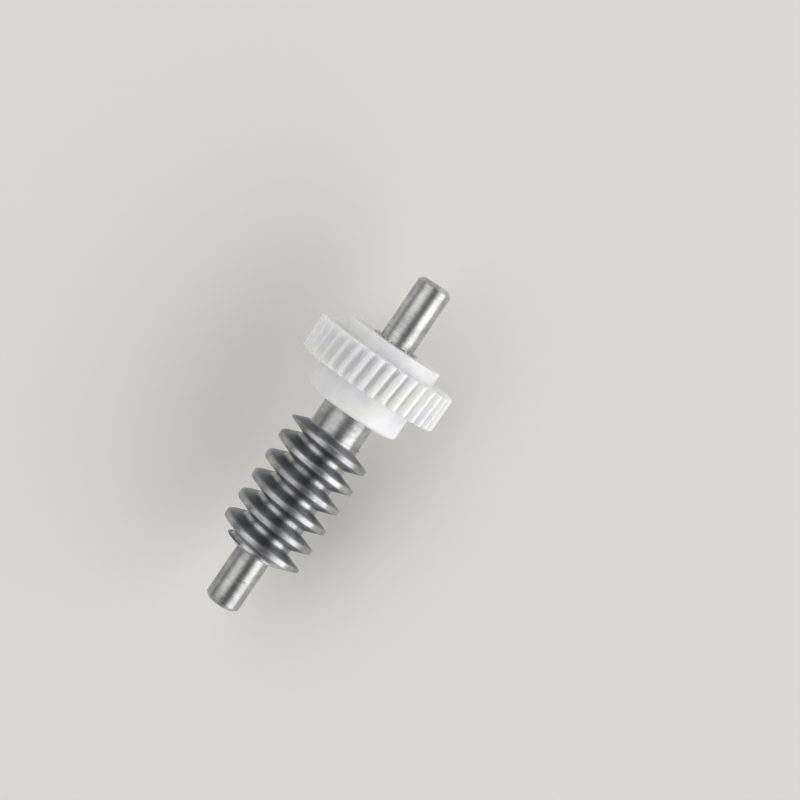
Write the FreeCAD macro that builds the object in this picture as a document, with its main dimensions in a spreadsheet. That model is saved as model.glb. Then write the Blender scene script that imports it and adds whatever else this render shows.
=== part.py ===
"""Worm gear set of a small folding drive.

A turned steel shaft carries a single-start left-hand worm. A moulded nylon wheel is
pressed on the shaft's straight-knurled seat, against the shoulder above the worm. The
shaft's axis is +X, towards the wheel end, and x = 0 is the worm's lower thrust face.
"""
import FreeCAD, Part
import math
import os
import Sketcher

V = FreeCAD.Vector
ORIGIN_POINT = (-1, 1)
AXIS_LINE = -1
CROSS_LINE = -2
SKETCH_NORMAL = V(0, 0, 1)
# A rotation by no angle keeps no axis, so a sketch starts turned and then takes the sheet's angle.
START_ANGLE = 1
# Two lengths that differ by less than this, in mm, are the same one.
SAME_LENGTH = 1e-4

SIZES = (
    ("journal_diameter", 4.0),
    ("lower_journal_length", 6.4),
    ("upper_journal_length", 7.55),
    ("end_chamfer_length", 0.42),
    ("end_chamfer_depth", 0.5),
    ("thrust_face_diameter", 4.7),
    ("worm_length", 15.5),
    ("worm_diameter", 10.0),
    ("worm_root_diameter", 6.1),
    ("worm_pitch", 2.55),
    ("flank_angle", 20.0),
    ("groove_floor_width", 0.56),
    ("first_crest", 1.65),
    ("lead_in_turns", 1.5),
    ("lower_cone_depth", 1.04),
    ("upper_cone_depth", 0.8),
    ("shoulder_diameter", 6.0),
    ("shoulder_length", 2.9),
    ("seat_diameter", 5.4),
    ("seat_projection", 0.15),
    ("knurl_count", 30),
    ("knurl_depth", 0.2),
    ("knurl_flare", 0.4),
    ("lower_hub_diameter", 11.0),
    ("lower_hub_height", 3.05),
    ("lower_hub_rounding", 0.5),
    ("rim_diameter", 16.5),
    ("rim_width", 4.0),
    ("rim_chamfer", 0.2),
    ("upper_hub_diameter", 11.2),
    ("upper_hub_height", 1.55),
    ("tooth_count", 36),
    ("tooth_height", 0.95),
    ("gap_floor_width", 0.4),
    ("gap_mouth_width", 1.08),
    ("tooth_phase", 3.9),
    ("tooth_helix", 5.0),
    ("cutter_overrun", 0.3),
)
SIZE = dict(SIZES)

HALF_JOURNAL = "Sizes.journal_diameter / 2"
HALF_END = "Sizes.journal_diameter / 2 - Sizes.end_chamfer_depth"
SHOULDER_END = "Sizes.worm_length + Sizes.shoulder_length"
RIM_START = SHOULDER_END + " + Sizes.lower_hub_height"
WHEEL_HEIGHT = "Sizes.lower_hub_height + Sizes.rim_width + Sizes.upper_hub_height"
SEAT_LENGTH = WHEEL_HEIGHT + " + Sizes.seat_projection"
LEAD_IN = "Sizes.lead_in_turns * Sizes.worm_pitch"
GROOVE_START = LEAD_IN + " - Sizes.first_crest + Sizes.groove_floor_width / 2"
GROOVE_TRAVEL = "Sizes.worm_length + " + LEAD_IN
GROOVE_SIDE = "(Sizes.worm_diameter / 2 + Sizes.cutter_overrun - Sizes.worm_root_diameter / 2)"
GROOVE_FLARE = GROOVE_SIDE + " * tan(Sizes.flank_angle)"
TOOTH_FLOOR = "Sizes.rim_diameter / 2 - Sizes.tooth_height"
TOOTH_SLOPE = "(Sizes.gap_mouth_width - Sizes.gap_floor_width) / (2 * Sizes.tooth_height)"
GAP_HALF_FLOOR = "Sizes.gap_floor_width / 2"
GAP_HALF_OPEN = "Sizes.gap_mouth_width / 2 + Sizes.cutter_overrun * " + TOOTH_SLOPE
CUT_WIDTH = "(Sizes.rim_width + 2 * Sizes.cutter_overrun)"
TOOTH_TWIST = "atan(" + CUT_WIDTH + " * tan(Sizes.tooth_helix) / (" + TOOTH_FLOOR + "))"


def write_sheet(doc):
    """Puts every driving size in the sheet, under its own name."""
    sheet = doc.addObject("Spreadsheet::Sheet", "Sizes")
    for row, (name, value) in enumerate(SIZES, start=1):
        sheet.set("A%d" % row, name)
        sheet.set("B%d" % row, str(value))
        sheet.setAlias("B%d" % row, name)
    doc.recompute()


def origin_item(body, role):
    """One of the body's own origin planes or axes."""
    return next(item for item in body.Origin.OriginFeatures if item.Role == role)


def new_sketch(body, name, role, offset=None, turn=None):
    """A sketch on one of the body's planes, moved along its normal and turned in its plane."""
    sketch = body.newObject("Sketcher::SketchObject", name)
    sketch.AttachmentSupport = [(origin_item(body, role), "")]
    sketch.MapMode = "FlatFace"
    sketch.AttachmentOffset = FreeCAD.Placement(V(), FreeCAD.Rotation(SKETCH_NORMAL, START_ANGLE))
    sketch.setExpression("AttachmentOffset.Base.z", offset or "0")
    sketch.setExpression("AttachmentOffset.Rotation.Angle", turn or "0")
    return sketch


def draw_loop(sketch, corners):
    """Joins the corners with straight sides, so that side i starts at corner i."""
    count = len(corners)
    for index, corner in enumerate(corners):
        following = corners[(index + 1) % count]
        sketch.addGeometry(Part.LineSegment(V(*corner, 0), V(*following, 0)), False)
    for index in range(count):
        sketch.addConstraint(Sketcher.Constraint("Coincident", index, 2, (index + 1) % count, 1))


def straighten(sketch, level, upright):
    """Makes the listed sides parallel to the axis, and square to it."""
    for side in level:
        sketch.addConstraint(Sketcher.Constraint("Horizontal", side))
    for side in upright:
        sketch.addConstraint(Sketcher.Constraint("Vertical", side))


def tie(sketch, name, kind, start, end, text):
    """Gives two points a named distance along x or y that follows the sheet."""
    span = sketch.getPoint(*end) - sketch.getPoint(*start)
    value = span.x if kind == "DistanceX" else span.y
    index = sketch.addConstraint(Sketcher.Constraint(kind, *start, *end, value))
    sketch.renameConstraint(index, name)
    sketch.setExpression("Constraints." + name, text)


def tie_heights(sketch, heights):
    """Sets the named corners' distances from the axis."""
    for name, corner, text in heights:
        tie(sketch, name + "_radius", "DistanceY", ORIGIN_POINT, (corner, 1), text)


def tie_lengths(sketch, lengths):
    """Sets the named distances along the axis between pairs of corners."""
    for name, start, end, text in lengths:
        tie(sketch, name + "_length", "DistanceX", (start, 1), (end, 1), text)


def tie_half_widths(sketch, name, left, right, text):
    """Spreads two corners evenly about the middle line."""
    tie(sketch, name + "_right", "DistanceX", ORIGIN_POINT, (right, 1), text)
    tie(sketch, name + "_left", "DistanceX", (left, 1), ORIGIN_POINT, text)


def revolve(body, sketch, name):
    """Turns a half section once round the shaft's axis."""
    feature = body.newObject("PartDesign::Revolution", name)
    feature.Profile = sketch
    feature.ReferenceAxis = (origin_item(body, "X_Axis"), [""])
    feature.Angle = 360
    sketch.Visibility = False
    return feature


def repeat_round_axis(body, feature, name, count):
    """Repeats a feature evenly round the shaft's axis."""
    pattern = body.newObject("PartDesign::PolarPattern", name)
    pattern.Originals = [feature]
    pattern.Axis = (origin_item(body, "X_Axis"), [""])
    pattern.Angle = 360
    pattern.setExpression("Occurrences", count)
    body.Tip = pattern
    return pattern


def shaft_profile(body):
    """Half section of the shaft before the worm's groove and the knurl are cut."""
    sketch = new_sketch(body, "ShaftProfile", "XZ_Plane")
    journal = SIZE["journal_diameter"] / 2
    chamfered = journal - SIZE["end_chamfer_depth"]
    worm = SIZE["worm_diameter"] / 2
    shoulder = SIZE["shoulder_diameter"] / 2
    seat = SIZE["seat_diameter"] / 2
    low_end = -SIZE["lower_journal_length"]
    worm_end = SIZE["worm_length"]
    seat_start = worm_end + SIZE["shoulder_length"]
    wheel_end = seat_start + SIZE["lower_hub_height"] + SIZE["rim_width"] + SIZE["upper_hub_height"]
    seat_end = wheel_end + SIZE["seat_projection"]
    high_end = seat_end + SIZE["upper_journal_length"]
    draw_loop(sketch, (
        (low_end, 0),
        (low_end, chamfered),
        (low_end + SIZE["end_chamfer_length"], journal),
        (0, journal),
        (0, SIZE["thrust_face_diameter"] / 2),
        (SIZE["lower_cone_depth"], worm),
        (worm_end - SIZE["upper_cone_depth"], worm),
        (worm_end, shoulder),
        (seat_start, shoulder),
        (seat_start, seat),
        (seat_end, seat),
        (seat_end, journal),
        (high_end - SIZE["end_chamfer_length"], journal),
        (high_end, chamfered),
        (high_end, 0),
    ))
    straighten(sketch, (2, 5, 7, 9, 11, 14), (0, 3, 8, 10, 13))
    sketch.addConstraint(Sketcher.Constraint("PointOnObject", 0, 1, AXIS_LINE))
    sketch.addConstraint(Sketcher.Constraint("PointOnObject", 3, 1, CROSS_LINE))
    tie_heights(sketch, (
        ("lower_end", 1, HALF_END),
        ("lower_journal", 3, HALF_JOURNAL),
        ("thrust_face", 4, "Sizes.thrust_face_diameter / 2"),
        ("worm", 5, "Sizes.worm_diameter / 2"),
        ("shoulder", 7, "Sizes.shoulder_diameter / 2"),
        ("seat", 9, "Sizes.seat_diameter / 2"),
        ("upper_journal", 11, HALF_JOURNAL),
        ("upper_end", 13, HALF_END),
    ))
    tie_lengths(sketch, (
        ("lower_journal", 0, 3, "Sizes.lower_journal_length"),
        ("lower_chamfer", 1, 2, "Sizes.end_chamfer_length"),
        ("lower_cone", 4, 5, "Sizes.lower_cone_depth"),
        ("worm", 3, 7, "Sizes.worm_length"),
        ("upper_cone", 6, 7, "Sizes.upper_cone_depth"),
        ("shoulder", 7, 8, "Sizes.shoulder_length"),
        ("seat", 9, 10, SEAT_LENGTH),
        ("upper_journal", 11, 14, "Sizes.upper_journal_length"),
        ("upper_chamfer", 12, 13, "Sizes.end_chamfer_length"),
    ))
    return sketch


def groove_profile(body):
    """Cross section of the worm's groove, where the cut starts, clear of the worm's lower end."""
    sketch = new_sketch(body, "GrooveProfile", "XZ_Plane")
    centre = SIZE["first_crest"] - SIZE["lead_in_turns"] * SIZE["worm_pitch"]
    floor = SIZE["worm_root_diameter"] / 2
    mouth = SIZE["worm_diameter"] / 2 + SIZE["cutter_overrun"]
    half_floor = SIZE["groove_floor_width"] / 2
    half_mouth = half_floor + (mouth - floor) * math.tan(math.radians(SIZE["flank_angle"]))
    draw_loop(sketch, (
        (centre - half_floor, floor),
        (centre + half_floor, floor),
        (centre + half_mouth, mouth),
        (centre - half_mouth, mouth),
    ))
    straighten(sketch, (0, 2), ())
    tie_heights(sketch, (
        ("floor", 0, "Sizes.worm_root_diameter / 2"),
        ("mouth", 2, "Sizes.worm_diameter / 2 + Sizes.cutter_overrun"),
    ))
    tie(sketch, "start", "DistanceX", (0, 1), ORIGIN_POINT, GROOVE_START)
    tie_lengths(sketch, (
        ("floor", 0, 1, "Sizes.groove_floor_width"),
        ("upper_flank", 1, 2, GROOVE_FLARE),
        ("lower_flank", 3, 0, GROOVE_FLARE),
    ))
    return sketch


def knurl_profile(body):
    """One V of the straight knurl, at the seat's lower end, point towards the axis."""
    sketch = new_sketch(body, "KnurlProfile", "YZ_Plane", SHOULDER_END)
    seat = SIZE["seat_diameter"] / 2
    flare = SIZE["knurl_flare"]
    draw_loop(sketch, (
        (0, seat - SIZE["knurl_depth"]),
        (flare, seat + SIZE["knurl_depth"]),
        (-flare, seat + SIZE["knurl_depth"]),
    ))
    straighten(sketch, (1,), ())
    sketch.addConstraint(Sketcher.Constraint("PointOnObject", 0, 1, CROSS_LINE))
    tie_heights(sketch, (
        ("point", 0, "Sizes.seat_diameter / 2 - Sizes.knurl_depth"),
        ("mouth", 1, "Sizes.seat_diameter / 2 + Sizes.knurl_depth"),
    ))
    tie_half_widths(sketch, "mouth", 2, 1, "Sizes.knurl_flare")
    return sketch


def build_shaft(doc):
    """The turned shaft: revolved blank, helical worm groove, knurled seat."""
    body = doc.addObject("PartDesign::Body", "WormShaft")
    body.Label = "worm_shaft"
    revolve(body, shaft_profile(body), "ShaftBlank")
    doc.recompute()

    groove = body.newObject("PartDesign::SubtractiveHelix", "WormGroove")
    groove.Profile = groove_profile(body)
    groove.ReferenceAxis = (origin_item(body, "X_Axis"), [""])
    groove.Mode = "pitch-height-angle"
    groove.setExpression("Pitch", "Sizes.worm_pitch")
    groove.setExpression("Height", GROOVE_TRAVEL)
    groove.Angle = 0
    groove.LeftHanded = True
    groove.Reversed = False
    doc.recompute()

    knurl = body.newObject("PartDesign::Pocket", "KnurlGroove")
    knurl.Profile = knurl_profile(body)
    knurl.setExpression("Length", SEAT_LENGTH + " + Sizes.cutter_overrun")
    knurl.Reversed = True
    doc.recompute()
    repeat_round_axis(body, knurl, "Knurl", "Sizes.knurl_count")
    return body


def wheel_profile(body):
    """Half section of the wheel's rim and hubs round the bore."""
    sketch = new_sketch(body, "WheelProfile", "XZ_Plane")
    start = SIZE["worm_length"] + SIZE["shoulder_length"]
    rim_start = start + SIZE["lower_hub_height"]
    rim_end = rim_start + SIZE["rim_width"]
    end = rim_end + SIZE["upper_hub_height"]
    bore = SIZE["seat_diameter"] / 2
    lower_hub = SIZE["lower_hub_diameter"] / 2
    upper_hub = SIZE["upper_hub_diameter"] / 2
    rim = SIZE["rim_diameter"] / 2
    chamfer = SIZE["rim_chamfer"]
    draw_loop(sketch, (
        (start, bore),
        (start, lower_hub),
        (rim_start, lower_hub),
        (rim_start, rim - chamfer),
        (rim_start + chamfer, rim),
        (rim_end, rim),
        (rim_end, upper_hub),
        (end, upper_hub),
        (end, bore),
    ))
    straighten(sketch, (1, 4, 6, 8), (0, 2, 5, 7))
    tie_heights(sketch, (
        ("bore", 0, "Sizes.seat_diameter / 2"),
        ("lower_hub", 1, "Sizes.lower_hub_diameter / 2"),
        ("rim_edge", 3, "Sizes.rim_diameter / 2 - Sizes.rim_chamfer"),
        ("rim", 4, "Sizes.rim_diameter / 2"),
        ("upper_hub", 6, "Sizes.upper_hub_diameter / 2"),
    ))
    tie(sketch, "start_length", "DistanceX", ORIGIN_POINT, (0, 1), SHOULDER_END)
    tie_lengths(sketch, (
        ("lower_hub", 1, 2, "Sizes.lower_hub_height"),
        ("rim_chamfer", 3, 4, "Sizes.rim_chamfer"),
        ("rim", 3, 5, "Sizes.rim_width"),
        ("upper_hub", 6, 7, "Sizes.upper_hub_height"),
    ))
    return sketch


def gap_profile(body, name, offset, turn):
    """Cross section of one gap between teeth, open beyond the rim."""
    sketch = new_sketch(body, name, "YZ_Plane", offset, turn)
    rim = SIZE["rim_diameter"] / 2
    height = SIZE["tooth_height"]
    overrun = SIZE["cutter_overrun"]
    half_floor = SIZE["gap_floor_width"] / 2
    half_mouth = SIZE["gap_mouth_width"] / 2
    half_open = half_mouth + overrun * (half_mouth - half_floor) / height
    draw_loop(sketch, (
        (-half_floor, rim - height),
        (half_floor, rim - height),
        (half_open, rim + overrun),
        (-half_open, rim + overrun),
    ))
    straighten(sketch, (0, 2), ())
    tie_heights(sketch, (
        ("floor", 0, TOOTH_FLOOR),
        ("open", 2, "Sizes.rim_diameter / 2 + Sizes.cutter_overrun"),
    ))
    tie_half_widths(sketch, "floor", 0, 1, GAP_HALF_FLOOR)
    tie_half_widths(sketch, "open", 3, 2, GAP_HALF_OPEN)
    return sketch


def build_wheel(doc):
    """The moulded wheel: revolved blank, twisted tooth gaps, bore ridges in the knurl."""
    body = doc.addObject("PartDesign::Body", "WormWheel")
    body.Label = "worm_wheel"
    blank = revolve(body, wheel_profile(body), "WheelBlank")
    doc.recompute()

    lower_face_edge = lower_hub_edge(blank.Shape)
    rounding = body.newObject("PartDesign::Fillet", "HubRounding")
    rounding.Base = (blank, [lower_face_edge])
    rounding.setExpression("Radius", "Sizes.lower_hub_rounding")
    doc.recompute()

    turn = "Sizes.tooth_phase * 1 deg"
    below = gap_profile(
        body, "GapBelow", RIM_START + " - Sizes.cutter_overrun", turn + " - " + TOOTH_TWIST
    )
    above = gap_profile(
        body, "GapAbove", RIM_START + " + Sizes.rim_width + Sizes.cutter_overrun", turn
    )
    gap = body.newObject("PartDesign::SubtractiveLoft", "ToothGap")
    gap.Profile = below
    gap.Sections = [above]
    gap.Ruled = True
    doc.recompute()
    repeat_round_axis(body, gap, "Teeth", "Sizes.tooth_count")
    doc.recompute()

    ridge = body.newObject("PartDesign::Pad", "BoreRidge")
    ridge.Profile = knurl_profile(body)
    ridge.setExpression("Length", WHEEL_HEIGHT)
    doc.recompute()
    repeat_round_axis(body, ridge, "BoreRidges", "Sizes.knurl_count")
    return body


def lower_hub_edge(shape):
    """Name of the outer edge of the wheel's lower hub face."""
    start = SIZE["worm_length"] + SIZE["shoulder_length"]
    radius = SIZE["lower_hub_diameter"] / 2
    for index, edge in enumerate(shape.Edges, start=1):
        curve = edge.Curve
        if not isinstance(curve, Part.Circle):
            continue
        miss = max(abs(curve.Radius - radius), abs(curve.Center.x - start))
        if miss < SAME_LENGTH:
            return "Edge%d" % index
    raise RuntimeError("the lower hub's outer edge was not found")


def check(doc, bodies):
    """Stops if any object failed or any sub-part isn't one valid solid."""
    for item in doc.Objects:
        if "Invalid" in item.State or "Error" in item.State:
            raise RuntimeError("%s failed: %s" % (item.Name, item.State))
    for body in bodies:
        shape = body.Shape
        if shape.isNull() or not shape.isValid() or len(shape.Solids) != 1:
            raise RuntimeError("%s has no valid single solid" % body.Label)


def main():
    """Builds both pieces and writes one file for each."""
    doc = FreeCAD.newDocument("WormGearSet")
    write_sheet(doc)
    bodies = [build_shaft(doc), build_wheel(doc)]
    doc.recompute()
    check(doc, bodies)
    os.makedirs("parts", exist_ok=True)
    for body in bodies:
        body.Shape.exportStep(os.path.join("parts", body.Label + ".step"))
        print("%s: %.3f mm3" % (body.Label, body.Shape.Volume))


main()
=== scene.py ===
"""Worm gear set: the finished look of a turned steel worm shaft and its moulded nylon wheel.

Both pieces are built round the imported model's axis, +X, in metres.
"""
import math

import bmesh
import bpy
from bpy.props import FloatProperty, FloatVectorProperty, IntProperty, PointerProperty
from mathutils import Matrix, Vector


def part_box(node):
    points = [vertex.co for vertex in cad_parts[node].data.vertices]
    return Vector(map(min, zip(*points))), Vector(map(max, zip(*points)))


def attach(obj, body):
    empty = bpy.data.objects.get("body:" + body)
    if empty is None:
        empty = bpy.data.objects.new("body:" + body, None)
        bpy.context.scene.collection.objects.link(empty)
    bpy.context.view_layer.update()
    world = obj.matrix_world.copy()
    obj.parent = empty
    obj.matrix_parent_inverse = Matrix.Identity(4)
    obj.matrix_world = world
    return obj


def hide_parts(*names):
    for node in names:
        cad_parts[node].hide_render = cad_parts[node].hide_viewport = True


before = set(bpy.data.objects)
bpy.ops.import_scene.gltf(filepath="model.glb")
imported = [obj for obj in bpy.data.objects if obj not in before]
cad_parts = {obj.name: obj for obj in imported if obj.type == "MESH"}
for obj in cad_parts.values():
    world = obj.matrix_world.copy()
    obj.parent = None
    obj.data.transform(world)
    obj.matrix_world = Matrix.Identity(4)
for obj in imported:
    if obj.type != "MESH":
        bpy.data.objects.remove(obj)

bl_info = {
    "name": "Worm Gear Set",
    "version": (1, 0, 0),
    "blender": (4, 5, 0),
    "location": "3D View > Sidebar > Worm Gear",
    "description": "Builds a small worm shaft with its pressed-on wheel, and a stage to show it on",
    "category": "Add Mesh",
}

MM = 0.001
BODY = "root"

# Points closer than this are one point.
TOUCHING = 0.0001 * MM

# Faces that meet at less than this are shaded as one surface.
SMOOTH_BELOW = math.radians(32)

# Steps of a quarter turn, by how large the rounding is.
LARGE_ROUNDING, SMALL_ROUNDING, TOOTH_ROUNDING = 6, 3, 2

SHAFT_LOW, SHAFT_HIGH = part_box("worm_shaft")
WHEEL_LOW, WHEEL_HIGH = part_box("worm_wheel")
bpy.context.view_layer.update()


def srgb(code):
    """Linear colour, with alpha, of an sRGB hex code."""
    channels = [int(code[place:place + 2], 16) / 255 for place in (1, 3, 5)]
    return tuple(
        c / 12.92 if c <= 0.04045 else ((c + 0.055) / 1.055) ** 2.4 for c in channels
    ) + (1.0,)


def length(name, description, millimetres):
    """A size in millimetres as a Blender length."""
    return FloatProperty(
        name=name, description=description, default=millimetres * MM, unit="LENGTH", precision=5,
    )


def angle(name, description, degrees):
    """An angle given in degrees."""
    return FloatProperty(name=name, description=description, default=math.radians(degrees), subtype="ANGLE")


def amount(name, description, value):
    """A plain number that isn't negative."""
    return FloatProperty(name=name, description=description, default=value, min=0)


def count(name, description, value, least):
    """A whole number of things, not under the least that makes sense."""
    return IntProperty(name=name, description=description, default=value, min=least)


def colour(name, description, code):
    """A colour given as an sRGB hex code."""
    return FloatVectorProperty(
        name=name, description=description, default=srgb(code), size=4, subtype="COLOR", min=0, max=1
    )


class ShaftSizes(bpy.types.PropertyGroup):
    journal_diameter: length("Journal diameter", "Diameter of both bearing journals", 4.0)
    chamfer_length: length("Chamfer length", "Length of the chamfer at each end of the shaft", 0.42)
    chamfer_depth: length("Chamfer depth", "Radial depth of the chamfer at each end", 0.5)
    thrust_face_diameter: length("Thrust face diameter", "Flat ring at the worm's lower end", 4.7)
    worm_length: length("Worm length", "Length of the threaded blank", 15.5)
    worm_diameter: length("Worm diameter", "Diameter over the thread's crests", 10.0)
    worm_root_diameter: length("Worm root diameter", "Diameter at the bottom of the groove", 6.1)
    worm_pitch: length("Worm pitch", "Axial distance from one crest to the next", 2.55)
    flank_angle: angle("Flank angle", "Slope of each side of the thread", 20.0)
    groove_floor_width: length("Groove floor width", "Width of the groove's flat bottom", 0.56)
    root_fillet: length("Root fillet", "Rounding of the groove's floor corners", 0.14)
    crest_break: length("Crest break", "Bevel on both edges of the crest", 0.05)
    lead_in: amount("Lead-in", "Turns of groove cut below the first full crest", 1.5)
    cutter_overrun: length("Cutter overrun", "How far a cutter stands out of the blank", 0.3)
    first_crest: length("First crest", "Height of the first full crest above the thrust face", 1.65)
    lower_cone_depth: length("Lower cone depth", "Length of the cone at the worm's lower end", 1.04)
    upper_cone_depth: length("Upper cone depth", "Length of the cone at the worm's upper end", 0.8)
    shoulder_diameter: length("Shoulder diameter", "Plain shaft between worm and wheel", 6.0)
    seat_diameter: length("Seat diameter", "Knurled seat that carries the wheel", 5.4)
    seat_projection: length("Seat projection", "How far the seat stands proud of the wheel", 0.15)
    knurl_depth: length("Knurl depth", "Depth of each V of the straight knurl", 0.2)
    knurl_start: length("Knurl start", "Plain stretch left on the seat beside the shoulder", 0.02)
    knurl_count: count("Knurl count", "Number of V grooves round the seat", 30, 3)
    witness_ring: length("Witness ring", "From the upper end to the hairline left by a bearing's edge", 6.35)
    edge_break: length("Edge break", "Rounding left on turned edges", 0.04)
    segments: count("Segments", "Steps round the shaft", 144, 24)


class WheelSizes(bpy.types.PropertyGroup):
    lower_hub_diameter: length("Lower hub diameter", "Hub on the worm side", 11.0)
    lower_hub_height: length("Lower hub height", "Height of the hub on the worm side", 3.05)
    lower_hub_rounding: length("Lower hub rounding", "Rounded edge of the lower hub", 0.5)
    upper_hub_diameter: length("Upper hub diameter", "Hub on the outer side", 11.2)
    rim_width: length("Rim width", "Width of the toothed rim", 4.0)
    rim_chamfer: length("Rim chamfer", "Chamfer on the rim's lower edge", 0.2)
    tooth_height: length("Tooth height", "Depth of the gaps between teeth", 0.95)
    gap_floor_width: length("Gap floor width", "Width of a gap at its bottom", 0.4)
    gap_mouth_width: length("Gap mouth width", "Width of a gap at the tooth tips", 1.08)
    gap_fillet: length("Gap fillet", "Rounding in the corners of a gap", 0.08)
    tip_rounding: length("Tip rounding", "Rounding along the edges of a tooth's tip", 0.13)
    flank_swell: length("Flank swell", "How far a tooth's side swells at half its height", 0.04)
    web_margin: length("Web margin", "Plain ring left inside the teeth on the rim's faces", 0.25)
    edge_rounding: length("Edge rounding", "Small radius that moulding leaves on edges", 0.06)
    tooth_count: count("Tooth count", "Number of teeth round the rim", 36, 6)
    tooth_phase: angle("Tooth phase", "Turn of the first gap at the rim's upper face", 3.9)
    tooth_helix: angle("Tooth helix", "Lean of the teeth along the rim", 5.0)
    rim_steps: count("Rim steps", "Steps that the teeth's twist takes along the rim", 6, 1)


class FinishColours(bpy.types.PropertyGroup):
    steel: colour("Steel", "Freshly turned steel", "#C2C2C1")
    steel_dull: colour("Dull steel", "Patches dulled by handling and thin oxide", "#A6A6A7")
    # Partly old oiling and partly painted shade: the groove's flanks and the upper cone are painted darker
    # and bluer.
    steel_oil_and_shade: colour("Oily steel", "Thread flanks darkened by old oil", "#808287")
    # Painted light: this gain makes the steel brighter from the worm's top to the wheel and along the upper
    # journal, standing in for glare and light thrown back by the white wheel.
    painted_light_gain: amount("Clean gain", "How much brighter the steel is beyond the worm, free of old oil", 1.14)
    steel_speck: colour("Speck", "Small dark inclusions and dirt in the tool marks", "#3D3C3A")
    nylon: colour("Nylon", "Natural white nylon", "#F1F1F0")
    nylon_cloud: colour("Nylon cloud", "Denser clouds in the moulded nylon", "#E8E8EC")
    floor: colour("Floor", "Pale studio paper", "#EDECE9")


class FinishSizes(bpy.types.PropertyGroup):
    ring_spacing: length("Ring spacing", "Distance between the tool's rings", 0.22)
    ring_patch: length("Ring patch", "Size of the stretches over which rings come and go", 1.7)
    speck_cell: length("Speck cell", "Size of the cells, about one in four of which holds a speck", 0.9)
    scratch_grain: length("Scratch grain", "Grain of the noise that the scratches are drawn with", 0.14)
    dull_patch: length("Dull patch", "Size of the duller patches", 2.2)
    mottle: length("Mottle", "Size of the steel's mottling", 0.35)
    steel_relief: length("Steel relief", "Height of the marks on the steel", 0.003)
    # The painted shade in the groove, partly old oiling, begins at the first depth and is darkest at the
    # second.
    oil_shade_start: length("Oil start", "Depth in the groove where the oil begins", 0.06)
    oil_shade_full: length("Oil full", "Depth in the groove where the oil is at its darkest", 0.45)
    wiped_full: length("Wiped full", "Height above the root that is wiped quite clean", 0.1)
    wiped_end: length("Wiped end", "Height above the root where the wiped part ends", 0.4)
    hairline_core: length("Hairline core", "Half width of the hairline's darkest part", 0.02)
    hairline_edge: length("Hairline edge", "Half width of the whole hairline", 0.055)
    flow_cloud: length("Flow cloud", "Size of the nylon's flow clouds", 3.0)
    eroded_grain: length("Eroded grain", "Grain that the mould's eroded surface leaves", 0.1)
    nylon_relief: length("Nylon relief", "Height of the grain on the nylon", 0.006)
    nylon_glow: length("Nylon glow", "How far light soaks into the nylon", 1.1)
    paper_fibre: length("Paper fibre", "Size of the paper's fibres", 0.8)
    paper_relief: length("Paper relief", "Height of the paper's fibres", 0.01)


class StageSizes(bpy.types.PropertyGroup):
    room_light: amount("Room light", "Brightness of the ceiling between the softboxes", 0.176)
    key_wall_light: amount("Key wall light", "Brightness of the wall on the -Y side", 0.703)
    fill_wall_light: amount("Fill wall light", "Brightness of the wall on the +Y side", 0.308)
    wall_blend: amount("Wall blend", "Sideways share of a direction at which it meets one wall only", 0.5)
    backdrop_light: amount("Backdrop light", "Brightness of the paper that only the camera sees", 0.824)
    floor_reach: length("Floor reach", "How far the floor reaches to every side", 8000)
    wall_top: amount("Wall top", "Sine of the elevation where the walls end", 0.3)
    wall_full: amount("Wall full", "Sine of the elevation below which the walls are at their brightest", 0.05)
    key_light: amount("Key light", "Extra brightness of the softbox on the -Y side", 2.03)
    key_inner_edge: angle("Key inner edge", "Lean from upright, towards -Y, where the key begins", 27)
    key_inner_full: angle("Key inner full", "Lean where the key reaches full brightness", 60)
    key_outer_full: angle("Key outer full", "Lean where the key begins to fade", 80)
    key_outer_edge: angle("Key outer edge", "Lean where the key has faded out", 128)
    fill_light: amount("Fill light", "Extra brightness of the softbox on the +Y side", 1.10)
    fill_inner_edge: angle("Fill inner edge", "Lean towards -Y where the fill has faded out", 9)
    fill_inner_full: angle("Fill inner full", "Lean where the fill begins to fade", -25)
    fill_outer_full: angle("Fill outer full", "Lean where the fill reaches full brightness", -43)
    fill_outer_edge: angle("Fill outer edge", "Lean towards +Y where the fill begins", -80)
    softbox_full: amount("Softbox full", "Share of the view along the shaft that the softboxes fill", 0.6)
    softbox_end: amount("Softbox end", "Share of the view along the shaft where the softboxes end", 0.97)
    camera_place: FloatVectorProperty(
        name="Camera place", description="Where the camera stands", size=3, precision=5,
        default=(43.103 * MM, -3.625 * MM, 295.978 * MM), subtype="TRANSLATION", unit="LENGTH",
    )
    camera_tilt: angle("Camera tilt", "Lean of the view towards the shaft's upper end", 4.0)
    camera_roll: angle("Camera roll", "Turn of the picture about the view", -55.7)
    camera_lens: amount("Camera lens", "Focal length in millimetres", 126.0)
    camera_sensor: amount("Camera sensor", "Sensor width in millimetres", 36.0)
    camera_nearest: length("Camera nearest", "Nearest thing that the camera draws", 10)
    camera_farthest: length("Camera farthest", "Farthest thing that the camera draws", 10000)


# ---------------------------------------------------------------- shared mesh helpers

def finish_piece(name, mesh_builder, cad_node, material):
    """Makes an object of a closed bmesh, gives it its material and puts it in the CAD node's place."""
    if any(not edge.is_manifold for edge in mesh_builder.edges):
        raise RuntimeError(f"{name} isn't closed")
    mesh = bpy.data.meshes.new(name)
    mesh_builder.to_mesh(mesh)
    mesh_builder.free()
    piece = bpy.data.objects.new(name, mesh)
    bpy.context.scene.collection.objects.link(piece)
    mesh.materials.clear()
    mesh.materials.append(material)
    for face in mesh.polygons:
        face.use_smooth = True
    mesh.set_sharp_from_angle(angle=SMOOTH_BELOW)
    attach(piece, BODY)
    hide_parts(cad_node)
    return piece


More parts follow.
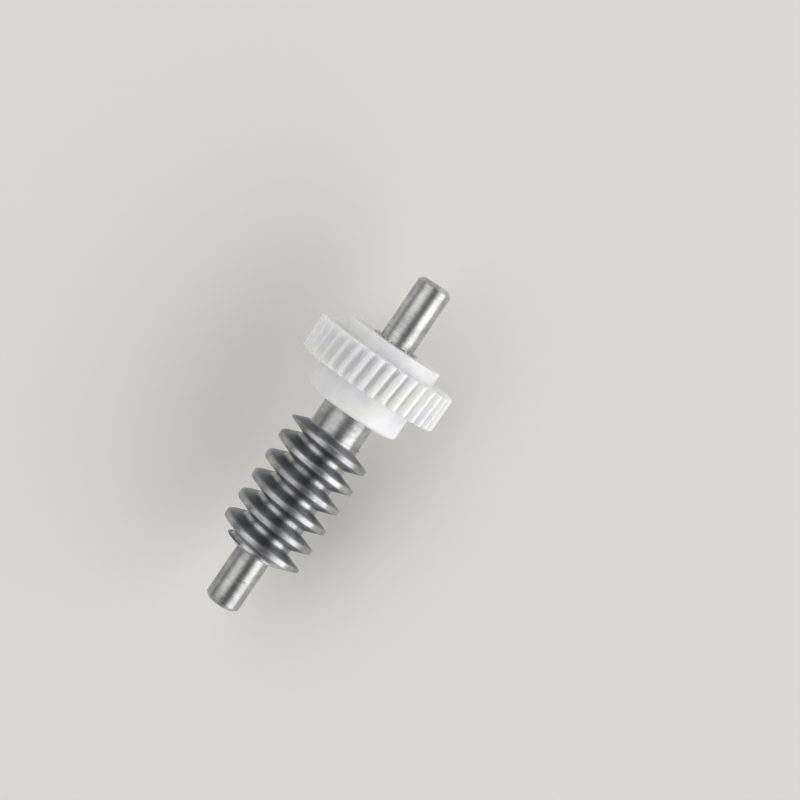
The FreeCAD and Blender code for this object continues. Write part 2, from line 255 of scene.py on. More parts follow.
def lathe(profile, segments):
    """A closed turned solid from a half section given as (x, radius) points that ends on the axis."""
    bm = bmesh.new()
    points = [bm.verts.new((x, 0, radius)) for x, radius in profile]
    sides = [bm.edges.new(pair) for pair in zip(points, points[1:])]
    bmesh.ops.spin(
        bm, geom=points + sides, cent=(0, 0, 0), axis=(1, 0, 0), dvec=(0, 0, 0),
        angle=2 * math.pi, steps=segments, use_merge=True, use_duplicate=False,
    )
    bmesh.ops.remove_doubles(bm, verts=bm.verts, dist=TOUCHING)
    bmesh.ops.recalc_face_normals(bm, faces=bm.faces)
    return bm


def break_edges(bm, offset, least_angle=0.2):
    """Rounds every edge of a turned solid whose faces meet at more than the least angle."""
    sharp = [e for e in bm.edges if len(e.link_faces) == 2 and e.calc_face_angle(0) > least_angle]
    bmesh.ops.bevel(
        bm, geom=sharp, offset=offset, offset_type="OFFSET", segments=2, profile=0.5,
        affect="EDGES", clamp_overlap=True, material=-1,
    )


def cut(blank, cutter):
    """The blank bmesh less the cutter bmesh, by an exact boolean."""
    objects = []
    for label, bm in (("blank", blank), ("cutter", cutter)):
        mesh = bpy.data.meshes.new(label)
        bm.to_mesh(mesh)
        bm.free()
        item = bpy.data.objects.new(label, mesh)
        bpy.context.scene.collection.objects.link(item)
        objects.append(item)
    modifier = objects[0].modifiers.new("Cut", "BOOLEAN")
    modifier.operation = "DIFFERENCE"
    modifier.solver = "EXACT"
    modifier.object = objects[1]
    evaluated = objects[0].evaluated_get(bpy.context.evaluated_depsgraph_get())
    result = bmesh.new()
    result.from_mesh(evaluated.to_mesh())
    evaluated.to_mesh_clear()
    for item in objects:
        mesh = item.data
        bpy.data.objects.remove(item)
        bpy.data.meshes.remove(mesh)
    return result


def clean_up(bm):
    """Takes out the needless points that cuts leave along edges, and splits the faces into triangles.

    With such points left in, faces beside an edge would be split along one line, into stray triangles.
    """
    bmesh.ops.dissolve_verts(bm, verts=[vertex for vertex in bm.verts if len(vertex.link_edges) == 2])
    bmesh.ops.triangulate(bm, faces=bm.faces, quad_method="BEAUTY", ngon_method="BEAUTY")


# ---------------------------------------------------------------- materials

def node(tree, kind, inputs=None, **settings):
    """Adds a node with its settings. An input is a value, a socket, or a node that gives its first output."""
    made = tree.nodes.new(kind)
    for name, value in settings.items():
        setattr(made, name, value)
    for name, value in (inputs or {}).items():
        if isinstance(value, bpy.types.Node):
            value = value.outputs[0]
        if isinstance(value, bpy.types.NodeSocket):
            tree.links.new(value, made.inputs[name])
        else:
            made.inputs[name].default_value = value
    return made


def plain_material(name, base, metallic, roughness):
    """A Principled material to start from."""
    material = bpy.data.materials.new(name)
    material.use_nodes = True
    shader = material.node_tree.nodes["Principled BSDF"]
    shader.inputs["Base Color"].default_value = base
    shader.inputs["Metallic"].default_value = metallic
    shader.inputs["Roughness"].default_value = roughness
    return material, material.node_tree, shader


def per_metre(size):
    """How many times a pattern of this size repeats in a metre."""
    return 1 / size


def groove_oil_and_shade(tree, along, radius, sizes, finish):
    """How far a point lies in the thread's groove, and how much darkening is painted on it.

    The groove is what lies below the turned blank's surface. Its darker, bluer tone is partly old
    oiling and partly painted shade, and the worm's upper cone counts with it and gets the same
    painted shade. The root is wiped clean by the mating gear.
    """
    crest = sizes.worm_diameter / 2
    root = sizes.worm_root_diameter / 2
    thrust = sizes.thrust_face_diameter / 2
    steepness = (crest - thrust) / sizes.lower_cone_depth
    cone = node(tree, "ShaderNodeMath", {0: along, 1: steepness, 2: thrust}, operation="MULTIPLY_ADD")
    blank = node(tree, "ShaderNodeMath", {0: cone, 1: crest}, operation="MINIMUM")
    depth = node(tree, "ShaderNodeMath", {0: blank, 1: radius}, operation="SUBTRACT")
    sunk = node(tree, "ShaderNodeMapRange", {
        "Value": depth, "From Min": finish.oil_shade_start, "From Max": finish.oil_shade_full,
    })
    worm_end = sizes.worm_length - sizes.edge_break / 2
    on_worm = node(tree, "ShaderNodeMath", {0: along, 1: worm_end}, operation="LESS_THAN")
    groove = node(tree, "ShaderNodeMath", {0: sunk, 1: on_worm}, operation="MULTIPLY")
    above_root = node(tree, "ShaderNodeMapRange", {
        "Value": radius, "From Min": root + finish.wiped_full, "From Max": root + finish.wiped_end,
    })
    oil_and_shade = node(tree, "ShaderNodeMath", {0: groove, 1: above_root}, operation="MULTIPLY")
    return groove, oil_and_shade


def tool_rings(tree, place, along, radius, groove, finish):
    """Fine rings left by the tool: round the shaft on its sides, and round the thread in the groove.

    Real feed marks are about 0.08 mm apart, and these are 0.22 mm so that they show. They are
    broken up into arcs about 1.5 mm long, and come and go over about 1.7 mm.
    """
    side = node(tree, "ShaderNodeMath", {0: 1.0, 1: groove}, operation="SUBTRACT")
    course = node(tree, "ShaderNodeMath", {0: along, 1: side, 2: radius}, operation="MULTIPLY_ADD")
    across = node(tree, "ShaderNodeCombineXYZ", {"X": course})
    round_about = node(tree, "ShaderNodeVectorMath", {0: place, 1: (0, 0.15, 0.15)}, operation="MULTIPLY")
    path = node(tree, "ShaderNodeVectorMath", {0: across, 1: round_about}, operation="ADD")
    rings = node(tree, "ShaderNodeTexNoise", {
        "Vector": path, "Scale": per_metre(finish.ring_spacing), "Detail": 3.0, "Roughness": 0.65,
    })
    centred = node(tree, "ShaderNodeMath", {0: rings, 1: 0.5}, operation="SUBTRACT")
    coming = node(tree, "ShaderNodeTexNoise", {
        "Vector": place, "Scale": per_metre(finish.ring_patch), "Detail": 2.0,
    })
    strength = node(tree, "ShaderNodeMapRange", {
        "Value": coming, "From Min": 0.3, "From Max": 0.65, "To Min": 0.25,
    })
    return node(tree, "ShaderNodeMath", {0: centred, 1: strength}, operation="MULTIPLY")


def specks_of_dirt(tree, place, finish):
    """Dark specks about 0.12 mm across, in one cell out of four of a 0.9 mm pattern."""
    cells = node(tree, "ShaderNodeTexVoronoi", {"Vector": place, "Scale": per_metre(finish.speck_cell)})
    chance = node(tree, "ShaderNodeSeparateColor", {"Color": cells.outputs["Color"]})
    lucky = node(tree, "ShaderNodeMath", {0: chance, 1: 0.74}, operation="GREATER_THAN")
    spot = node(tree, "ShaderNodeMapRange", {"Value": cells, "From Min": 0.1, "From Max": 0.05})
    return node(tree, "ShaderNodeMath", {0: spot, 1: lucky}, operation="MULTIPLY")


def handling_scratches(tree, place, finish):
    """Short scratches, about 1 mm long and 0.06 mm wide, that cross the shaft at a slant."""
    slant = node(tree, "ShaderNodeMapping", {
        "Vector": place, "Rotation": (0, 0.05, 0.45), "Scale": (10, 0.7, 0.7),
    }, vector_type="TEXTURE")
    streaks = node(tree, "ShaderNodeTexNoise", {
        "Vector": slant, "Scale": per_metre(finish.scratch_grain), "Distortion": 0.4,
    })
    return node(tree, "ShaderNodeMapRange", {"Value": streaks, "From Min": 0.64, "From Max": 0.72})


def bearing_hairline(tree, along, mottle, sizes, finish):
    """A hairline where a bearing's edge has run, 0.1 mm wide and broken up round the journal."""
    witness = SHAFT_HIGH.x - sizes.witness_ring
    off = node(tree, "ShaderNodeMath", {0: along, 1: witness}, operation="SUBTRACT")
    apart = node(tree, "ShaderNodeMath", {0: off}, operation="ABSOLUTE")
    line = node(tree, "ShaderNodeMapRange", {
        "Value": apart, "From Min": finish.hairline_edge, "From Max": finish.hairline_core,
    })
    broken = node(tree, "ShaderNodeMapRange", {"Value": mottle, "From Min": 0.4, "From Max": 0.55})
    return node(tree, "ShaderNodeMath", {0: line, 1: broken}, operation="MULTIPLY")


def turned_steel(colours, sizes, finish):
    """Bare free-cutting steel, turned and thread-milled, with a film of old oil.

    The eye sees fine rings round the axis, highlights smeared along it, duller patches, a few
    dark specks and scratches, and darker thread flanks, whose rings run round the thread. The
    flanks' darkness is partly old oiling and partly painted shade, and the steel near the wheel
    carries painted light.
    """
    material, tree, shader = plain_material("turned_carbon_steel", colours.steel, 1.0, 0.43)
    place = node(tree, "ShaderNodeTexCoord").outputs["Object"]
    along = node(tree, "ShaderNodeSeparateXYZ", {"Vector": place}).outputs["X"]
    spoke = node(tree, "ShaderNodeVectorMath", {0: place, 1: (0, 1, 1)}, operation="MULTIPLY")
    radius = node(tree, "ShaderNodeVectorMath", {0: spoke}, operation="LENGTH").outputs["Value"]

    groove, oil_and_shade = groove_oil_and_shade(tree, along, radius, sizes, finish)
    rings = tool_rings(tree, place, along, radius, groove, finish)
    specks = specks_of_dirt(tree, place, finish)
    scratches = handling_scratches(tree, place, finish)

    # Duller patches about 2 mm across, and mottling about 0.35 mm across.
    dulling = node(tree, "ShaderNodeTexNoise", {
        "Vector": place, "Scale": per_metre(finish.dull_patch), "Detail": 4.0,
    })
    patches = node(tree, "ShaderNodeMapRange", {"Value": dulling, "From Min": 0.42, "From Max": 0.66})
    mottle = node(tree, "ShaderNodeTexNoise", {
        "Vector": place, "Scale": per_metre(finish.mottle), "Detail": 4.0, "Roughness": 0.65,
    })

    # The tone is the steel's brightness: rings and mottling on it, scratches a little darker.
    mottled = node(tree, "ShaderNodeMapRange", {
        "Value": mottle, "From Min": 0.25, "From Max": 0.75, "To Min": 0.88, "To Max": 1.06,
    })
    ringed = node(tree, "ShaderNodeMath", {0: rings, 1: 1.1, 2: mottled}, operation="MULTIPLY_ADD")
    tone = node(tree, "ShaderNodeMath", {0: scratches, 1: -0.1, 2: ringed}, operation="MULTIPLY_ADD")
    bare = node(tree, "ShaderNodeMix", {
        0: patches, 6: colours.steel, 7: colours.steel_dull,
    }, data_type="RGBA")
    # Painted shade, partly old oiling: down in the groove and on the upper cone the steel is painted darker
    # and bluer.
    oily_and_shaded = node(tree, "ShaderNodeMix", {
        0: oil_and_shade, 6: bare.outputs[2], 7: colours.steel_oil_and_shade,
    }, data_type="RGBA")
    # Painted light: the tone rises by the gain from the worm's top to the wheel and stays up beyond it,
    # standing in for glare and light thrown back by the white wheel.
    clean = node(tree, "ShaderNodeMapRange", {
        "Value": along, "From Min": sizes.worm_length, "From Max": WHEEL_LOW.x,
        "To Min": 1.0, "To Max": colours.painted_light_gain,
    }, interpolation_type="SMOOTHSTEP")
    tone_with_painted_light = node(tree, "ShaderNodeMath", {0: tone, 1: clean}, operation="MULTIPLY")
    toned = node(tree, "ShaderNodeVectorMath", {0: oily_and_shaded.outputs[2], "Scale": tone_with_painted_light}, operation="SCALE")
    hairline = bearing_hairline(tree, along, mottle, sizes, finish)
    faint = node(tree, "ShaderNodeMath", {0: hairline, 1: 0.35}, operation="MULTIPLY")
    dirt = node(tree, "ShaderNodeMath", {0: specks, 1: faint}, operation="MAXIMUM")
    steel = node(tree, "ShaderNodeMix", {
        0: dirt, 6: toned, 7: colours.steel_speck,
    }, data_type="RGBA")
    tree.links.new(steel.outputs[2], shader.inputs["Base Color"])

    dull = node(tree, "ShaderNodeMapRange", {"Value": patches, "To Min": 0.4, "To Max": 0.47})
    milled = node(tree, "ShaderNodeMath", {0: oil_and_shade, 1: 0.03, 2: dull}, operation="MULTIPLY_ADD")
    root = node(tree, "ShaderNodeMath", {0: groove, 1: oil_and_shade}, operation="SUBTRACT")
    polished = node(tree, "ShaderNodeMath", {0: root, 1: -0.05, 2: milled}, operation="MULTIPLY_ADD")
    uneven = node(tree, "ShaderNodeMapRange", {
        "Value": mottle, "From Min": 0.3, "From Max": 0.7, "To Min": -0.05, "To Max": 0.05,
    })
    rough = node(tree, "ShaderNodeMath", {0: polished, 1: uneven}, operation="ADD")
    tree.links.new(rough.outputs[0], shader.inputs["Roughness"])

    # The surface's height: rings and mottling stand up, specks and scratches are sunk.
    grain = node(tree, "ShaderNodeMath", {0: mottle, 1: 0.5}, operation="MULTIPLY")
    ridges = node(tree, "ShaderNodeMath", {0: rings, 1: 0.6, 2: grain}, operation="MULTIPLY_ADD")
    pitted = node(tree, "ShaderNodeMath", {0: specks, 1: -0.8, 2: ridges}, operation="MULTIPLY_ADD")
    height = node(tree, "ShaderNodeMath", {0: scratches, 1: -0.4, 2: pitted}, operation="MULTIPLY_ADD")
    bump = node(tree, "ShaderNodeBump", {"Height": height, "Strength": 1.0, "Distance": finish.steel_relief})
    tree.links.new(bump.outputs[0], shader.inputs["Normal"])

    # Rings smear a highlight across themselves: along the shaft on its sides, outwards on its ends.
    facing = node(tree, "ShaderNodeNewGeometry").outputs["Normal"]
    ringwise = node(tree, "ShaderNodeVectorMath", {0: (1, 0, 0), 1: place}, operation="CROSS_PRODUCT")
    smear = node(tree, "ShaderNodeVectorMath", {0: facing, 1: ringwise}, operation="CROSS_PRODUCT")
    tree.links.new(smear.outputs[0], shader.inputs["Tangent"])
    shader.inputs["Anisotropic"].default_value = 0.88
    return material


def moulded_nylon(colours, finish):
    """Natural nylon 66, injection moulded in a fine-eroded tool.

    The eye sees milky white that light soaks into, so edges and teeth glow a little, under a
    satin skin with a very fine grain and faint clouds from the flow.
    """
    material, tree, shader = plain_material("moulded_white_nylon", colours.nylon, 0.0, 0.4)
    shader.inputs["IOR"].default_value = 1.53
    shader.inputs["Subsurface Weight"].default_value = 0.9
    shader.inputs["Subsurface Radius"].default_value = (1.0, 0.96, 0.9)
    shader.inputs["Subsurface Scale"].default_value = finish.nylon_glow
    place = node(tree, "ShaderNodeTexCoord").outputs["Object"]

    # Flow clouds about 3 mm across, and the tool's eroded grain, about 0.1 mm.
    flow = node(tree, "ShaderNodeTexNoise", {
        "Vector": place, "Scale": per_metre(finish.flow_cloud), "Detail": 3.0, "Distortion": 0.6,
    })
    grain = node(tree, "ShaderNodeTexNoise", {
        "Vector": place, "Scale": per_metre(finish.eroded_grain), "Detail": 2.0, "Roughness": 0.6,
    })
    clouds = node(tree, "ShaderNodeMapRange", {"Value": flow, "From Min": 0.4, "From Max": 0.65})
    tint = node(tree, "ShaderNodeMix", {
        0: clouds, 6: colours.nylon, 7: colours.nylon_cloud,
    }, data_type="RGBA")
    tree.links.new(tint.outputs[2], shader.inputs["Base Color"])

    satin = node(tree, "ShaderNodeMapRange", {
        "Value": flow, "From Min": 0.3, "From Max": 0.7, "To Min": 0.34, "To Max": 0.44,
    })
    pits = node(tree, "ShaderNodeMapRange", {
        "Value": grain, "From Min": 0.3, "From Max": 0.7, "To Min": -0.03, "To Max": 0.03,
    })
    rough = node(tree, "ShaderNodeMath", {0: satin, 1: pits}, operation="ADD")
    tree.links.new(rough.outputs[0], shader.inputs["Roughness"])
    bump = node(tree, "ShaderNodeBump", {"Height": grain, "Strength": 0.6, "Distance": finish.nylon_relief})
    tree.links.new(bump.outputs[0], shader.inputs["Normal"])
    return material


def studio_paper(colours, finish):
    """Matt background paper under the piece.

    The eye sees an even pale sheet, with the piece's soft shadow on it and no shine.
    """
    material, tree, shader = plain_material("pale_matt_paper", colours.floor, 0.0, 0.85)
    place = node(tree, "ShaderNodeTexCoord").outputs["Object"]
    fibres = node(tree, "ShaderNodeTexNoise", {
        "Vector": place, "Scale": per_metre(finish.paper_fibre), "Detail": 3.0,
    })
    bump = node(tree, "ShaderNodeBump", {"Height": fibres, "Strength": 0.3, "Distance": finish.paper_relief})
    tree.links.new(bump.outputs[0], shader.inputs["Normal"])
    return material


def soft_room(stage, colours):
    """A room with pale walls and, overhead, two soft-edged softboxes that run along the shaft.

    The camera sees the paper's colour in its place, so that floor and backdrop meet without a line.
    """
    world = bpy.data.worlds.new("soft_room")
    world.use_nodes = True
    tree = world.node_tree
    direction = node(tree, "ShaderNodeTexCoord").outputs["Generated"]
    axes = node(tree, "ShaderNodeSeparateXYZ", {"Vector": direction})
    towards_key = node(tree, "ShaderNodeMath", {0: axes.outputs["Y"], 1: -1.0}, operation="MULTIPLY")
    lean = node(tree, "ShaderNodeMath", {0: towards_key, 1: axes.outputs["Z"]}, operation="ARCTAN2")

    def softbox(brightness, inner_edge, inner_full, outer_full, outer_edge):
        """Full brightness between two leans from upright, fading to nothing at the edges."""
        rise = node(tree, "ShaderNodeMapRange", {
            "Value": lean, "From Min": inner_edge, "From Max": inner_full,
        }, interpolation_type="SMOOTHSTEP")
        fall = node(tree, "ShaderNodeMapRange", {
            "Value": lean, "From Min": outer_edge, "From Max": outer_full, "To Max": brightness,
        }, interpolation_type="SMOOTHSTEP")
        return node(tree, "ShaderNodeMath", {0: rise, 1: fall}, operation="MULTIPLY")

    key = softbox(
        stage.key_light, stage.key_inner_edge, stage.key_inner_full, stage.key_outer_full,
        stage.key_outer_edge)
    fill = softbox(
        stage.fill_light, stage.fill_inner_edge, stage.fill_inner_full, stage.fill_outer_full,
        stage.fill_outer_edge)
    both = node(tree, "ShaderNodeMath", {0: key, 1: fill}, operation="ADD")
    endways = node(tree, "ShaderNodeMath", {0: axes.outputs["X"]}, operation="ABSOLUTE")
    reach = node(tree, "ShaderNodeMapRange", {
        "Value": endways, "From Min": stage.softbox_end, "From Max": stage.softbox_full,
    }, interpolation_type="SMOOTHSTEP")
    wall = node(tree, "ShaderNodeMapRange", {
        "Value": axes.outputs["Y"], "From Min": -stage.wall_blend, "From Max": stage.wall_blend,
        "To Min": stage.key_wall_light, "To Max": stage.fill_wall_light,
    }, interpolation_type="SMOOTHSTEP")
    room = node(tree, "ShaderNodeMapRange", {
        "Value": axes.outputs["Z"], "From Min": stage.wall_top, "From Max": stage.wall_full,
        "To Min": stage.room_light, "To Max": wall,
    }, interpolation_type="SMOOTHSTEP")
    lit = node(tree, "ShaderNodeMath", {0: both, 1: reach, 2: room}, operation="MULTIPLY_ADD")
    seen = node(tree, "ShaderNodeLightPath").outputs["Is Camera Ray"]
    strength = node(tree, "ShaderNodeMix", {0: seen, 2: lit, 3: stage.backdrop_light})
    tint = node(tree, "ShaderNodeMix", {0: seen, 6: (1, 1, 1, 1), 7: colours.floor}, data_type="RGBA")
    background = tree.nodes["Background"]
    tree.links.new(strength.outputs[0], background.inputs["Strength"])
    tree.links.new(tint.outputs[2], background.inputs["Color"])
    return world


# ---------------------------------------------------------------- pieces

def shaft_blank(sizes):
    """The turned blank: journals, coned worm, shoulder and seat."""
    journal = sizes.journal_diameter / 2
    worm = sizes.worm_diameter / 2
    shoulder = sizes.shoulder_diameter / 2
    seat = sizes.seat_diameter / 2
    low, high = SHAFT_LOW.x, SHAFT_HIGH.x
    seat_end = WHEEL_HIGH.x + sizes.seat_projection
    bm = lathe((
        (low, 0),
        (low, journal - sizes.chamfer_depth),
        (low + sizes.chamfer_length, journal),
        (0, journal),
        (0, sizes.thrust_face_diameter / 2),
        (sizes.lower_cone_depth, worm),
        (sizes.worm_length - sizes.upper_cone_depth, worm),
        (sizes.worm_length, shoulder),
        (WHEEL_LOW.x, shoulder),
        (WHEEL_LOW.x, seat),
        (seat_end, seat),
        (seat_end, journal),
        (high - sizes.chamfer_length, journal),
        (high, journal - sizes.chamfer_depth),
        (high, 0),
    ), sizes.segments)
    break_edges(bm, sizes.edge_break)
    return bm


def groove_cutter(sizes):
    """The path of the thread mill: one groove section swept along a left-hand helix.

    The section widens suddenly near the crest, which breaks the crest's edges.
    """
    root = sizes.worm_root_diameter / 2
    crest = sizes.worm_diameter / 2
    half_floor = sizes.groove_floor_width / 2
    corner = crest - sizes.crest_break
    half_corner = half_floor + (corner - root) * math.tan(sizes.flank_angle)
    half_mouth = half_corner + sizes.crest_break
    clear = crest + sizes.cutter_overrun
    start = sizes.first_crest - sizes.lead_in * sizes.worm_pitch
    turns = sizes.worm_length / sizes.worm_pitch + sizes.lead_in
    steps = round(turns * sizes.segments)
    step_forward = sizes.worm_pitch / sizes.segments
    bm = bmesh.new()
    section = (
        (start - half_floor, root),
        (start + half_floor, root),
        (start + half_corner, corner),
        (start + half_mouth, crest),
        (start + half_mouth, clear),
        (start - half_mouth, clear),
        (start - half_mouth, crest),
        (start - half_corner, corner),
    )
    bm.faces.new([bm.verts.new((x, 0, radius)) for x, radius in section])
    bm.verts.ensure_lookup_table()
    bmesh.ops.bevel(
        bm, geom=bm.verts[:2], offset=sizes.root_fillet, offset_type="OFFSET", segments=3, profile=0.5,
        affect="VERTICES", clamp_overlap=True, material=-1,
    )

    # Half a step's turn keeps the cutter's corners off the blank's edges, so the cut comes out clean.
    half_step = Matrix.Rotation(math.pi / sizes.segments, 3, "X")
    bmesh.ops.rotate(bm, verts=bm.verts, cent=(0, 0, 0), matrix=half_step)
    bmesh.ops.translate(bm, verts=bm.verts, vec=(-step_forward / 2, 0, 0))
    bmesh.ops.spin(
        bm, geom=bm.verts[:] + bm.edges[:] + bm.faces[:], cent=(0, 0, 0), axis=(-1, 0, 0),
        dvec=(step_forward, 0, 0), angle=2 * math.pi * steps / sizes.segments,
        steps=steps, use_merge=False, use_duplicate=False,
    )
    bmesh.ops.recalc_face_normals(bm, faces=bm.faces)
    return bm


def knurl_cutter(sizes):
    """The V grooves of the seat's straight knurl, one prism for each."""
    seat = sizes.seat_diameter / 2
    depth = sizes.knurl_depth
    start = WHEEL_LOW.x + sizes.knurl_start
    end = WHEEL_HIGH.x + sizes.seat_projection + sizes.cutter_overrun
    half_width = 2 * depth
    bm = bmesh.new()
    corners = ((0, seat - depth), (half_width, seat + depth), (-half_width, seat + depth))
    section = bm.faces.new([bm.verts.new((start, across, radius)) for across, radius in corners])
    made = bmesh.ops.extrude_face_region(bm, geom=[section])["geom"]
    far_end = [item for item in made if isinstance(item, bmesh.types.BMVert)]
    bmesh.ops.translate(bm, verts=far_end, vec=(end - start, 0, 0))
    bmesh.ops.spin(
        bm, geom=bm.verts[:] + bm.edges[:] + bm.faces[:], cent=(0, 0, 0), axis=(1, 0, 0),
        dvec=(0, 0, 0), angle=2 * math.pi, steps=sizes.knurl_count, use_merge=False, use_duplicate=True,
    )
    bmesh.ops.remove_doubles(bm, verts=bm.verts, dist=TOUCHING)
    bmesh.ops.recalc_face_normals(bm, faces=bm.faces)
    return bm


class WORMGEAR_OT_turn_shaft(bpy.types.Operator):
    """Turn the shaft, cut its worm and knurl its seat"""

    bl_idname = "wormgear.turn_shaft"
    bl_label = "Turn Shaft"

    def execute(self, context):
        sizes = context.scene.worm_shaft
        bm = cut(shaft_blank(sizes), groove_cutter(sizes))
        bm = cut(bm, knurl_cutter(sizes))
        clean_up(bm)
        steel = turned_steel(context.scene.worm_colours, sizes, context.scene.worm_finish)
        finish_piece("turned_worm_shaft", bm, "worm_shaft", steel)
        return {"FINISHED"}


def quarter(begin, finish, steps, second_first):
    """Points on a quarter turn between two points of a plane.

    It leaves along the second direction and arrives along the first, or the other way round.
    """
    points = []
    for step in range(steps + 1):
        bend = step / steps * math.pi / 2
        shares = (1 - math.cos(bend), math.sin(bend))
        first, second = shares if second_first else reversed(shares)
        points.append((begin[0] + (finish[0] - begin[0]) * first, begin[1] + (finish[1] - begin[1]) * second))
    return points


def round_axis(x, bearing, radius):
    """The point at a height, a bearing from +Z towards -Y, and a radius."""
    return Vector((x, -math.sin(bearing) * radius, math.cos(bearing) * radius))


def half_gap(sizes):
    """Half of a tooth gap's outline, as (half width, radius) from the gap's floor to the tooth's tip."""
    rim = WHEEL_HIGH.z
    floor = rim - sizes.tooth_height
    half_floor = sizes.gap_floor_width / 2
    half_mouth = sizes.gap_mouth_width / 2

    def flank(height):
        share = height / sizes.tooth_height
        swell = sizes.flank_swell * 4 * share * (1 - share)
        return half_floor + (half_mouth - half_floor) * share - swell

    low, high = sizes.gap_fillet, sizes.tooth_height - sizes.tip_rounding
    fillet = quarter((flank(low) - low, floor), (flank(low), floor + low), TOOTH_ROUNDING, False)
    between = [low + (high - low) * step / 4 for step in (1, 2, 3)]
    side = [(flank(height), floor + height) for height in between]
    tip = quarter(
        (flank(high), floor + high), (flank(high) + sizes.tip_rounding, rim), TOOTH_ROUNDING, True)
    return fillet + side + tip


def tooth_bearings(sizes):
    """The rim's outline as (bearing, radius) pairs, twenty to a tooth."""
    pitch = 2 * math.pi / sizes.tooth_count
    half = [(math.asin(width / radius), radius) for width, radius in half_gap(sizes)]
    gap = [(-bearing, radius) for bearing, radius in reversed(half)] + [(0.0, half[0][1])] + half
    tooth = gap + [(pitch / 2, WHEEL_HIGH.z)]
    outline = []
    for number in range(sizes.tooth_count):
        outline += [(bearing + number * pitch, radius) for bearing, radius in tooth]
    return outline


def shrunk(points, depth):
    """The outline moved inwards by a depth, square to itself."""
    moved = []
    for number, point in enumerate(points):
        along = (points[(number + 1) % len(points)] - points[number - 1]).normalized()
        inwards = Vector((0, along.z, -along.y))
        if inwards.dot(point) > 0:
            inwards = -inwards
        moved.append(point + inwards * depth)
    return moved


def wheel_outlines(sizes, shaft):
    """The wheel's outlines in order, from the bore's lower end round the outside to its upper end.

    Each outline has as many points as the rim's, so that they join one to one.
    """
    outline = tooth_bearings(sizes)
    start, end = WHEEL_LOW.x, WHEEL_HIGH.x
    rim = WHEEL_HIGH.z
    rim_start = start + sizes.lower_hub_height
    rim_end = rim_start + sizes.rim_width
    twist = sizes.rim_width * math.tan(sizes.tooth_helix) / (rim - sizes.tooth_height / 2)
    high_turn = sizes.tooth_phase
    low_turn = high_turn - twist
    soft = sizes.edge_rounding
    bore = shaft.seat_diameter / 2
    lower_hub = sizes.lower_hub_diameter / 2
    upper_hub = sizes.upper_hub_diameter / 2
    round_low = sizes.lower_hub_rounding
    chamfered = rim - sizes.rim_chamfer
    web = rim - sizes.tooth_height - sizes.web_margin

    def plain(x, radius, turn):
        """A circle whose points follow the teeth's spacing."""
        return [round_axis(x, bearing + turn, radius) for bearing, _ in outline]

    def toothed(x, turn, depth=0.0, highest=rim):
        """The rim's outline, moved inwards by a depth and turned down to a highest radius."""
        points = [round_axis(0, bearing + turn, radius) for bearing, radius in outline]
        lowered = [point * min(1.0, highest / point.length) for point in shrunk(points, depth)]
        return [Vector((x, 0, 0)) + point for point in lowered]

    def ribbed(x):
        """The bore's outline, with one ridge for each V of the knurl."""
        ridge = 2 * math.pi / shaft.knurl_count
        half_ridge = shaft.knurl_depth / bore
        points = []
        for number in range(len(outline)):
            bearing = 2 * math.pi * number / len(outline)
            off = abs((bearing + ridge / 2) % ridge - ridge / 2)
            points.append(round_axis(x, bearing, bore - shaft.knurl_depth * max(0.0, 1 - off / half_ridge)))
        return points

    lower_edge = quarter(
        (start, lower_hub - round_low), (start + round_low, lower_hub), LARGE_ROUNDING, True)
    lower_corner = quarter(
        (rim_start - soft, lower_hub), (rim_start, lower_hub + soft), SMALL_ROUNDING, False)
    upper_corner = quarter(
        (rim_end, upper_hub + soft), (rim_end + soft, upper_hub), SMALL_ROUNDING, True)
    upper_edge = quarter((end - soft, upper_hub), (end, upper_hub - soft), SMALL_ROUNDING, False)
    rim_foot = quarter((rim_start, soft), (rim_start + soft, 0.0), TOOTH_ROUNDING, True)
    rim_head = quarter((rim_end - soft, 0.0), (rim_end, soft), TOOTH_ROUNDING, False)
    straight_start = rim_start + sizes.rim_chamfer
    straight = rim_head[0][0] - straight_start

    stack = [ribbed(start)]
    stack += [plain(x, radius, low_turn) for x, radius in lower_edge + lower_corner + [(rim_start, web)]]
    for x, depth in rim_foot:
        stack.append(toothed(x, low_turn, depth, highest=chamfered + x - rim_start))
    for step in range(sizes.rim_steps + 1):
        share = step / sizes.rim_steps
        stack.append(toothed(straight_start + straight * share, low_turn + twist * share))
    for x, depth in rim_head[1:]:
        stack.append(toothed(x, high_turn, depth))
    stack += [plain(x, radius, high_turn) for x, radius in [(rim_end, web)] + upper_corner + upper_edge]
    stack.append(ribbed(end))
    return stack


def extrude_loop(bm, loop):
    """Extrudes a closed loop of vertices and returns the new loop in the same order."""
    edges = [bm.edges.get((a, b)) for a, b in zip(loop, loop[1:] + loop[:1])]
    made = bmesh.ops.extrude_edge_only(bm, edges=edges)["geom"]
    fresh = {item for item in made if isinstance(item, bmesh.types.BMVert)}
    return [next(e.other_vert(v) for e in v.link_edges if e.other_vert(v) in fresh) for v in loop]


class WORMGEAR_OT_mould_wheel(bpy.types.Operator):
    """Mould the nylon wheel with its fine teeth and ribbed bore"""

    bl_idname = "wormgear.mould_wheel"
    bl_label = "Mould Wheel"

    def execute(self, context):
        stack = wheel_outlines(context.scene.worm_wheel, context.scene.worm_shaft)
        bm = bmesh.new()
        loop = bmesh.ops.create_circle(bm, radius=WHEEL_HIGH.z, segments=len(stack[0]))["verts"]
        for number, outline in enumerate(stack + stack[:1]):
            if number:
                loop = extrude_loop(bm, loop)
            for vertex, place in zip(loop, outline):
                vertex.co = place
        bmesh.ops.remove_doubles(bm, verts=bm.verts, dist=TOUCHING)
        bmesh.ops.recalc_face_normals(bm, faces=bm.faces)
        nylon = moulded_nylon(context.scene.worm_colours, context.scene.worm_finish)
        finish_piece("moulded_worm_wheel", bm, "worm_wheel", nylon)
        return {"FINISHED"}


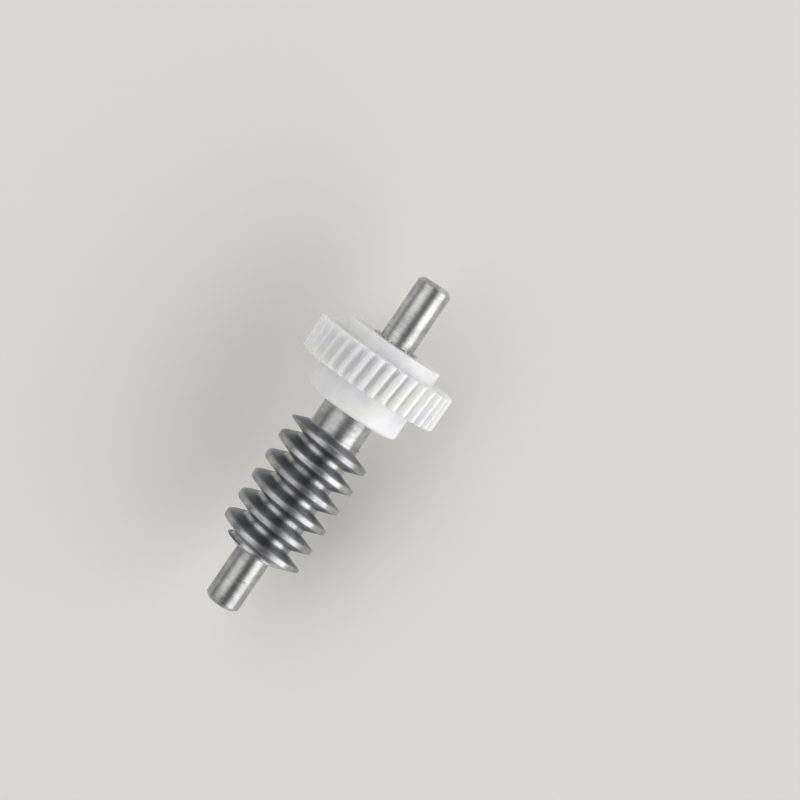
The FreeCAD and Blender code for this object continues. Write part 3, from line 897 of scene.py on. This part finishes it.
class WORMGEAR_OT_set_stage(bpy.types.Operator):
    """Lay the pale floor, hang the lights and set the camera"""

    bl_idname = "wormgear.set_stage"
    bl_label = "Set Stage"

    def execute(self, context):
        scene = context.scene
        stage = scene.worm_stage
        colours = scene.worm_colours

        bm = bmesh.new()
        bmesh.ops.create_grid(bm, x_segments=1, y_segments=1, size=stage.floor_reach)
        bmesh.ops.translate(bm, verts=bm.verts, vec=(0, 0, WHEEL_LOW.z))
        mesh = bpy.data.meshes.new("studio_floor")
        bm.to_mesh(mesh)
        bm.free()
        floor = bpy.data.objects.new("studio_floor", mesh)
        scene.collection.objects.link(floor)
        mesh.materials.append(studio_paper(colours, scene.worm_finish))

        scene.world = soft_room(stage, colours)

        data = bpy.data.cameras.new("camera")
        data.lens = stage.camera_lens
        data.sensor_width = stage.camera_sensor
        camera = bpy.data.objects.new("camera", data)
        turn = Matrix.Rotation(stage.camera_tilt, 4, "Y") @ Matrix.Rotation(stage.camera_roll, 4, "Z")
        camera.matrix_world = Matrix.Translation(stage.camera_place) @ turn
        data.clip_start, data.clip_end = stage.camera_nearest, stage.camera_farthest
        scene.collection.objects.link(camera)
        scene.camera = camera
        scene.view_settings.view_transform = "Standard"
        return {"FINISHED"}


class WORMGEAR_PT_sidebar(bpy.types.Panel):
    """Sizes, colours and builders of the worm gear set"""

    bl_idname = "WORMGEAR_PT_sidebar"
    bl_label = "Worm Gear"
    bl_space_type = "VIEW_3D"
    bl_region_type = "UI"
    bl_category = "Worm Gear"

    def draw(self, context):
        layout = self.layout
        for holder in SETTINGS:
            settings = getattr(context.scene, holder)
            box = layout.box()
            for name in settings.__annotations__:
                box.prop(settings, name)
        for operator in OPERATORS:
            layout.operator(operator.bl_idname)


SETTINGS = {
    "worm_shaft": ShaftSizes,
    "worm_wheel": WheelSizes,
    "worm_colours": FinishColours,
    "worm_finish": FinishSizes,
    "worm_stage": StageSizes,
}
OPERATORS = (WORMGEAR_OT_turn_shaft, WORMGEAR_OT_mould_wheel, WORMGEAR_OT_set_stage)


def register():
    for item in (*SETTINGS.values(), *OPERATORS, WORMGEAR_PT_sidebar):
        bpy.utils.register_class(item)
    for name, group in SETTINGS.items():
        setattr(bpy.types.Scene, name, PointerProperty(type=group))


def unregister():
    for name in SETTINGS:
        delattr(bpy.types.Scene, name)
    for item in reversed((*SETTINGS.values(), *OPERATORS, WORMGEAR_PT_sidebar)):
        bpy.utils.unregister_class(item)


def main():
    """Registers the add-on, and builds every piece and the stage."""
    register()
    bpy.ops.wormgear.turn_shaft()
    bpy.ops.wormgear.mould_wheel()
    bpy.ops.wormgear.set_stage()


if __name__ == "__main__":
    main()
